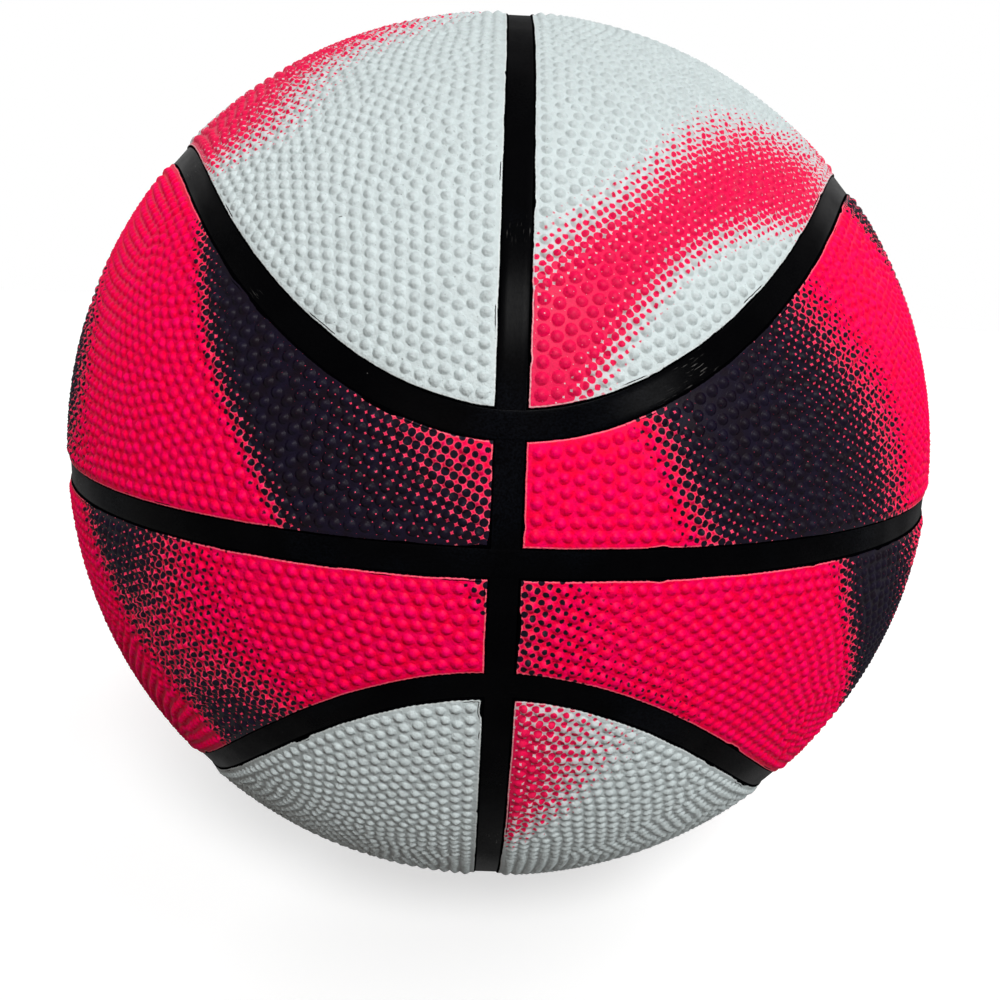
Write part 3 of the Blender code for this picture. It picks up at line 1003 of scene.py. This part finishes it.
def strip_mesh(name, centres, closed):
    """A flat strip along a line of points on the ball, with its underside on the carcass."""
    before = np.roll(centres, 1, axis=0) if closed else np.concatenate([centres[:1], centres[:-1]])
    after = np.roll(centres, -1, axis=0) if closed else np.concatenate([centres[1:], centres[-1:]])
    across = unit(np.cross(centres, after - before))
    section = [(share * STRIP_HALF, STRIP_TOP + height) for share, height in STRIP_SECTION]
    section += [(STRIP_HALF, PANEL_UNDERSIDE), (-STRIP_HALF, PANEL_UNDERSIDE)]
    rows = []
    for offset, radius in section:
        angle = offset / BALL_RADIUS
        rows.append(unit(centres * math.cos(angle) + across * math.sin(angle)) * radius)
    corners = np.stack(rows, axis=1)
    count, wide = corners.shape[:2]
    lines = count if closed else count - 1
    travel = run_lengths(centres) * BALL_RADIUS
    travel = np.append(travel, travel[-1] + STRIP_STEP)
    girth = run_lengths(np.array(section + section[:1]))
    faces, places = [], []
    for k in range(lines):
        for m in range(wide):
            here, there = k * wide, (k + 1) % count * wide
            faces.append((here + m, there + m, there + (m + 1) % wide, here + (m + 1) % wide))
            places += [(travel[k], girth[m]), (travel[k + 1], girth[m])]
            places += [(travel[k + 1], girth[m + 1]), (travel[k], girth[m + 1])]
    if not closed:
        faces += [tuple(range(wide)), tuple(range(lines * wide, count * wide))[::-1]]
        places += [(travel[0], 0.0)] * wide + [(travel[lines], 0.0)] * wide
    mesh = bpy.data.meshes.new(name)
    mesh.from_pydata(corners.reshape(-1, 3), [], faces)
    mesh.uv_layers.new(name="print").uv.foreach_set("vector", np.array(places).ravel())
    mesh.shade_smooth()
    mesh.set_sharp_from_angle(angle=STRIP_SHARP_ANGLE)
    return mesh


def brushed_black():
    """Black paint put on by brush: deep black with a satin sheen, a few dry strokes and specks, and
    bluish patches that are partly wear and partly a painted sheen.
    """
    made, shade = material("channel_paint")
    flat = laid_flat(shade)
    place = object_place(shade)
    stroke = flat.noise(2600.0, 3.0, (40.0, 1.0, 1.0))
    dry = flat.noise(4200.0, 2.0, (14.0, 1.0, 1.0)).step(0.62, 0.7)
    dry = dry * place.noise(52.0, 2.0).step(0.62, 0.72)
    speck = place.noise(900.0, 1.0).step(0.83, 0.86)
    pool = place.noise(70.0, 3.0).step(0.3, 0.7)
    grain = place.noise(2600.0, 2.0).step(0.3, 0.7)
    # Patches that are partly wear and partly a painted bluish sheen.
    worn_and_sheen = place.noise(30.0, 3.0).step(0.5, 0.66) * grain
    light_mark = (dry * 0.4 + speck * 0.5).clamp()
    black = worn_and_sheen.mix(colour(*CHANNEL_BLACK), colour(*CHANNEL_WORN_AND_SHEEN))
    return finish(made, {
        "Base Color": light_mark.mix(black, colour(*CHANNEL_DUST)),
        "Roughness": CHANNEL_ROUGHNESS + pool * 0.06 + grain * 0.05,
        "Specular IOR Level": 0.0,
        "Coat Weight": CHANNEL_SHEEN * (0.5 + pool * 0.5 + grain * 0.5),
        "Coat Roughness": CHANNEL_ROUGHNESS,
        "Coat IOR": CHANNEL_SHEEN_IOR,
        "Normal": (stroke + pool * 0.5).bump(BRUSH_DEPTH),
    })


channel_finish = brushed_black()


def channel(name, line, start, end, node):
    """A strip along line(angle) between two angles, closed if it goes all the way round."""
    closed = abs(end - start) > math.tau - 1e-6
    count = max(3, round(abs(end - start) * BALL_RADIUS / STRIP_STEP))
    angles = start + (end - start) * np.arange(count + (0 if closed else 1)) / count
    piece(name, strip_mesh(name, line(angles), closed), channel_finish, "ball", "channel_rubber", node)


def middle_line(azimuth):
    return direction(azimuth, 0.0)


def upper_curve(azimuth):
    return direction(azimuth, curve_elevation(azimuth))


def lower_curve(azimuth):
    return direction(azimuth, -curve_elevation(azimuth))


def vertical(turn):
    return beside_vertical(turn, 0.0)


channel("middle_strip", middle_line, 0.0, math.tau, "middle_channel")
channel("upper_curved_strip", upper_curve, 0.0, math.tau, "upper_curved_channel")
channel("lower_curved_strip", lower_curve, 0.0, math.tau, "lower_curved_channel")
gap = (STRIP_HALF + STRIP_GAP) / BALL_RADIUS
neck = curve_elevation(0.0)
channel("front_upper_strip", vertical, gap, neck - gap, "front_upper_channel")
channel("top_strip", vertical, neck + gap, math.pi - neck - gap, "top_channel")
channel("back_upper_strip", vertical, math.pi - neck + gap, math.pi - gap, "back_upper_channel")
channel("back_lower_strip", vertical, math.pi + gap, math.pi + neck - gap, "back_lower_channel")
channel("bottom_strip", vertical, math.pi + neck + gap, math.tau - neck - gap, "bottom_channel")
channel("front_lower_strip", vertical, math.tau - neck + gap, math.tau - gap, "front_lower_channel")

# Valve plug: a firm rubber plug pushed into the seat's bore, held by its fit and a drop of glue. Its
# head shows as a small round in the pad, with the dimple that leads the pump's needle in.

NEEDLE_HOLE_RADIUS = 0.0006
NEEDLE_LEAD_RADIUS = 0.0013
NEEDLE_LEAD_DEPTH = 0.0012
PLUG_TIP_CHAMFER = 0.0006
NEEDLE_HOLE_DEPTH = 0.0060
PLUG_DARK = (27, 27, 28)
PLUG_LIGHT = (48, 48, 50)

PLUG_PROFILE = [
    (0.0, SEAT_TOP - NEEDLE_HOLE_DEPTH),
    (NEEDLE_HOLE_RADIUS, SEAT_TOP - NEEDLE_HOLE_DEPTH),
    (NEEDLE_HOLE_RADIUS, SEAT_TOP - NEEDLE_LEAD_DEPTH),
    (NEEDLE_LEAD_RADIUS, SEAT_TOP),
    (PLUG_HEAD_RADIUS, SEAT_TOP),
    (PLUG_HEAD_RADIUS, SEAT_TOP - PLUG_HEAD_THICKNESS),
    (PLUG_STEM_RADIUS, SEAT_TOP - PLUG_HEAD_THICKNESS),
    (PLUG_STEM_RADIUS, SEAT_TOP - PLUG_LENGTH + PLUG_TIP_CHAMFER),
    (PLUG_STEM_RADIUS - PLUG_TIP_CHAMFER, SEAT_TOP - PLUG_LENGTH),
    (0.0, SEAT_TOP - PLUG_LENGTH),
]

plug_finish = plain_rubber(
    "plug_rubber", PLUG_DARK, PLUG_LIGHT, roughness=0.45, grain=1500.0, grain_depth=0.00003
)
piece("needle_plug", turned("needle_plug", rounded(PLUG_PROFILE, EDGE_ROUND), VALVE_SIDES),
      plug_finish, "valve_plug", "plug_rubber", "valve_plug")

# Floor: a plain pale sheet that the ball stands on. It looks white to the camera and keeps the
# ball's shadow, and gives only a dim bounce to the ball's underside.

FLOOR_SIZE = 12.0
FLOOR_GLOW = 0.61
FLOOR_SEEN = (0.50, 0.50, 0.50, 1.0)
FLOOR_BOUNCE = (0.02, 0.015, 0.014, 1.0)


def white_to_camera(shade):
    """1 for rays that should find the white backdrop: from the camera, or by reflection."""
    rays = ("Is Camera Ray", "Is Glossy Ray", "Is Transmission Ray")
    camera_ray, glossy_ray, clear_ray = [shade.node("ShaderNodeLightPath", output=ray) for ray in rays]
    return (camera_ray + glossy_ray + clear_ray).clamp()


def pale_floor():
    made, shade = material("pale_floor")
    seen = white_to_camera(shade)
    glow = shade.node("ShaderNodeEmission", {}, {"Strength": seen * FLOOR_GLOW})
    sheet = shade.node("ShaderNodeBsdfDiffuse", {}, {"Color": seen.mix(FLOOR_BOUNCE, FLOOR_SEEN)})
    both = shade.node("ShaderNodeAddShader", {}, {0: glow, 1: sheet})
    shade.feed(made.node_tree.nodes["Material Output"].inputs["Surface"], both)
    return made


bpy.ops.mesh.primitive_plane_add(size=FLOOR_SIZE, location=(0, 0, -BALL_RADIUS))
floor = bpy.context.object
floor.name = "floor"
floor.data.materials.append(pale_floor())

# Light: one soft lamp above the camera, a weaker one lower at its right and another high at its
# right, a wide warm one low at its left, three low behind the ball that light its back, and an
# even fill from all round.

LAMPS = {
    "key_lamp": {"strength": 2.0, "spread": 18, "azimuth": 9, "elevation": 44},
    "side_lamp": {"strength": 0.9, "spread": 15, "azimuth": 38, "elevation": 21},
    "high_lamp": {"strength": 0.58, "spread": 30, "azimuth": 62, "elevation": 60},
    "front_lamp": {
        "strength": 0.48, "spread": 44, "azimuth": -10, "elevation": 12, "tint": (1.0, 0.84, 0.76),
    },
    "left_back_lamp": {"strength": 0.7, "spread": 40, "azimuth": -140, "elevation": 16},
    "right_back_lamp": {"strength": 0.7, "spread": 40, "azimuth": 140, "elevation": 16},
    "back_lamp": {"strength": 2.2, "spread": 16, "azimuth": 180, "elevation": 8},
}
FILL_STRENGTH = 0.04

for name, lamp in LAMPS.items():
    light = bpy.data.lights.new(name, "SUN")
    light.energy = lamp["strength"]
    light.color = lamp.get("tint", (1.0, 1.0, 1.0))
    light.angle = math.radians(lamp["spread"])
    towards = Vector(direction(math.radians(lamp["azimuth"]), math.radians(lamp["elevation"])))
    placed = bpy.data.objects.new(name, light)
    placed.rotation_euler = towards.to_track_quat("Z", "Y").to_euler()
    bpy.context.scene.collection.objects.link(placed)

world = bpy.data.worlds.new("studio")
world.use_nodes = True
bpy.context.scene.world = world
sky = Shade(world.node_tree)
backdrop = world.node_tree.nodes["Background"].inputs
backdrop["Color"].default_value = (1.0, 1.0, 1.0, 1.0)
sky.feed(backdrop["Strength"], FILL_STRENGTH + white_to_camera(sky) * (1 - FILL_STRENGTH))

# Camera: near the ball, a little above its middle and very slightly tipped, as in the photograph.
# It is turned so that the ball's middle falls on its own pixel.

PICTURE_PIXELS = 1000
FOCAL_PIXELS = 960
BALL_PIXEL = (498.8, 452.5)
VIEW_DISTANCE = 2.439 * BALL_RADIUS
VIEW_AZIMUTH = math.radians(-1.16)
VIEW_ELEVATION = math.radians(12.66)
VIEW_ROLL = math.radians(-2.45)
SENSOR_WIDTH = 36.0
NEAREST_SEEN = 0.01

lens = bpy.data.cameras.new("camera")
lens.sensor_width = SENSOR_WIDTH
lens.lens = SENSOR_WIDTH * FOCAL_PIXELS / PICTURE_PIXELS
lens.clip_start = NEAREST_SEEN
camera = bpy.data.objects.new("camera", lens)
bpy.context.scene.collection.objects.link(camera)
bpy.context.scene.camera = camera
facing = Vector(direction(VIEW_AZIMUTH, VIEW_ELEVATION)).to_track_quat("Z", "Y").to_matrix()
facing = facing @ Matrix.Rotation(-VIEW_ROLL, 3, "Z")
sight = Vector((BALL_PIXEL[0] - PICTURE_PIXELS / 2, PICTURE_PIXELS / 2 - BALL_PIXEL[1], -FOCAL_PIXELS))
camera.matrix_world = facing.to_4x4()
camera.location = -(facing @ sight.normalized()) * VIEW_DISTANCE

bpy.context.scene.view_settings.view_transform = "Standard"
